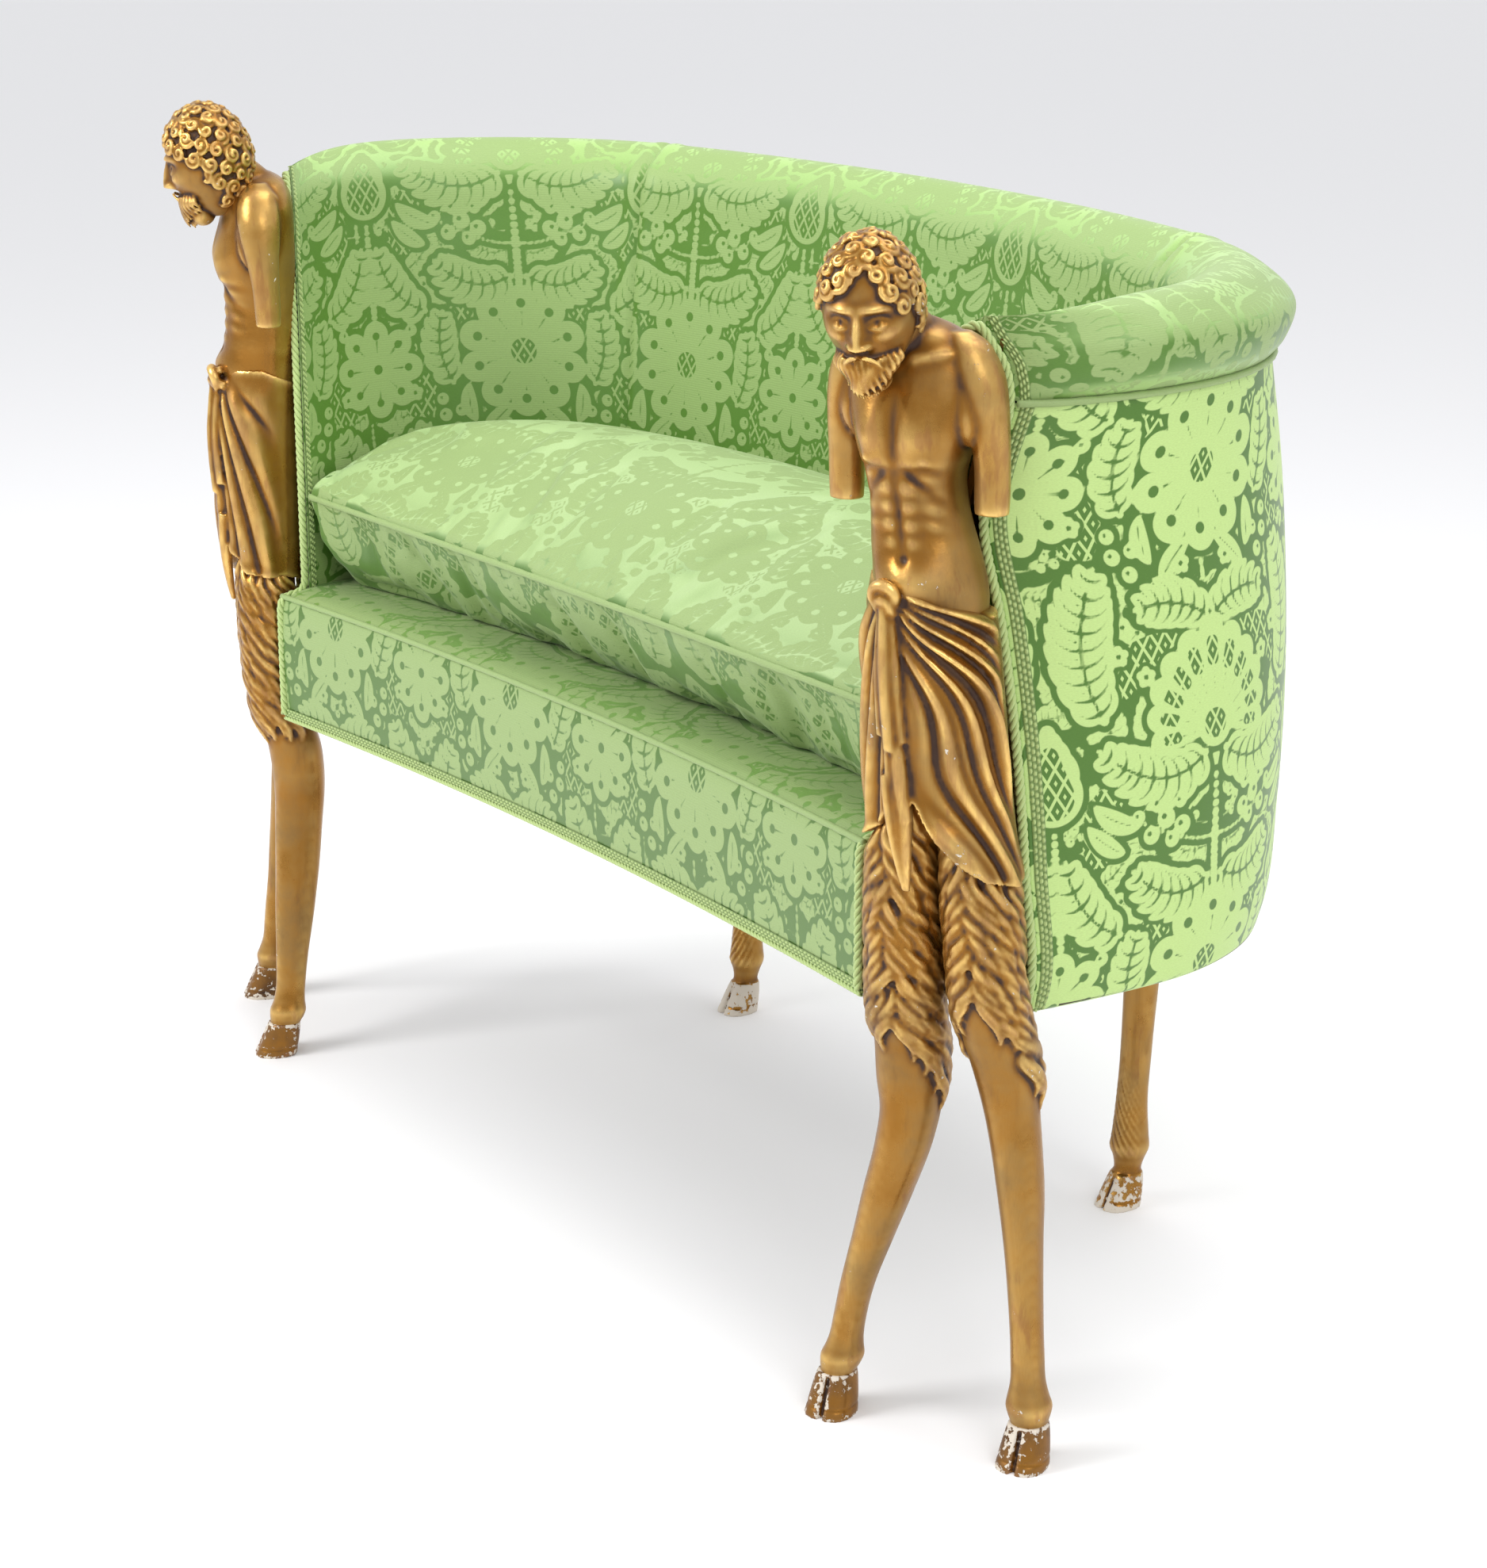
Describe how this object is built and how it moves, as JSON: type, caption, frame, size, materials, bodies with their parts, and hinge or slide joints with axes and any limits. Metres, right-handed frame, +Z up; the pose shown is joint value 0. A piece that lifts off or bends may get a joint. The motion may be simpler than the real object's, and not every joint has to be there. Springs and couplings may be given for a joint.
{
  "type": "settee",
  "caption": "Tub-backed giltwood settee with carved goat-legged figures at the arm fronts, green damask covers and a loose seat cushion.",
  "frame": {"origin": "on the floor, at the middle of the object's box", "axes": "+X to the right as seen from the front, -Y towards the front, +Z up"},
  "size_m": [1.302, 0.5623, 0.95],
  "materials": {
    "gilt_wood": "aged gilding over carved wood, worn to red-brown bole and white gesso",
    "frame_wood": "plain sawn hardwood, hidden under the covers",
    "damask": "two-tone green silk damask with a satin ground",
    "trim": "twisted cord and narrow woven braid in yellow-green silk",
    "stuffing": "stitched hair stuffing",
    "webbing": "jute webbing and hessian",
    "lining": "thin woven dust cover"
  },
  "bodies": {
    "settee": {"left_figure_head": "gilt_wood", "right_figure_head": "gilt_wood", "left_figure_torso": "gilt_wood", "right_figure_torso": "gilt_wood", "left_figure_drapery": "gilt_wood", "right_figure_drapery": "gilt_wood", "left_figure_inner_leg": "gilt_wood", "right_figure_inner_leg": "gilt_wood", "left_figure_outer_leg": "gilt_wood", "right_figure_outer_leg": "gilt_wood", "left_figure_hooves": "gilt_wood", "right_figure_hooves": "gilt_wood", "left_figure_dowels": "frame_wood", "right_figure_dowels": "frame_wood", "left_rear_leg": "gilt_wood", "right_rear_leg": "gilt_wood", "left_front_post": "frame_wood", "right_front_post": "frame_wood", "left_side_rail": "frame_wood", "right_side_rail": "frame_wood", "left_arm_rail": "frame_wood", "right_arm_rail": "frame_wood", "left_back_stile": "frame_wood", "right_back_stile": "frame_wood", "left_arm_stuffing": "stuffing", "right_arm_stuffing": "stuffing", "left_inside_arm_cover": "damask", "right_inside_arm_cover": "damask", "left_outside_arm_cover": "damask", "right_outside_arm_cover": "damask", "left_outer_braid": "trim", "right_outer_braid": "trim", "left_inner_braid": "trim", "right_inner_braid": "trim", "left_outer_rope": "trim", "right_outer_rope": "trim", "left_inner_rope": "trim", "right_inner_rope": "trim", "front_rail": "frame_wood", "back_rail": "frame_wood", "crest_rail": "frame_wood", "corner_blocks": "frame_wood", "lengthwise_webbing": "webbing", "crosswise_webbing": "webbing", "seat_hessian": "webbing", "seat_stuffing": "stuffing", "deck_cover": "damask", "front_border_cover": "damask", "front_welt": "damask", "front_braid": "trim", "dust_cover": "lining", "back_stuffing": "stuffing", "inside_back_cover": "damask", "outside_back_cover": "damask", "outside_welt": "damask"},
    "cushion": {"seat_cushion": "damask", "cushion_piping": "damask"}
  },
  "joints": [
    {"name": "cushion_lift", "type": "slide", "parent": "settee", "child": "cushion", "axis": [0, 0, 1], "range_m": [0, 0.6]}
  ]
}
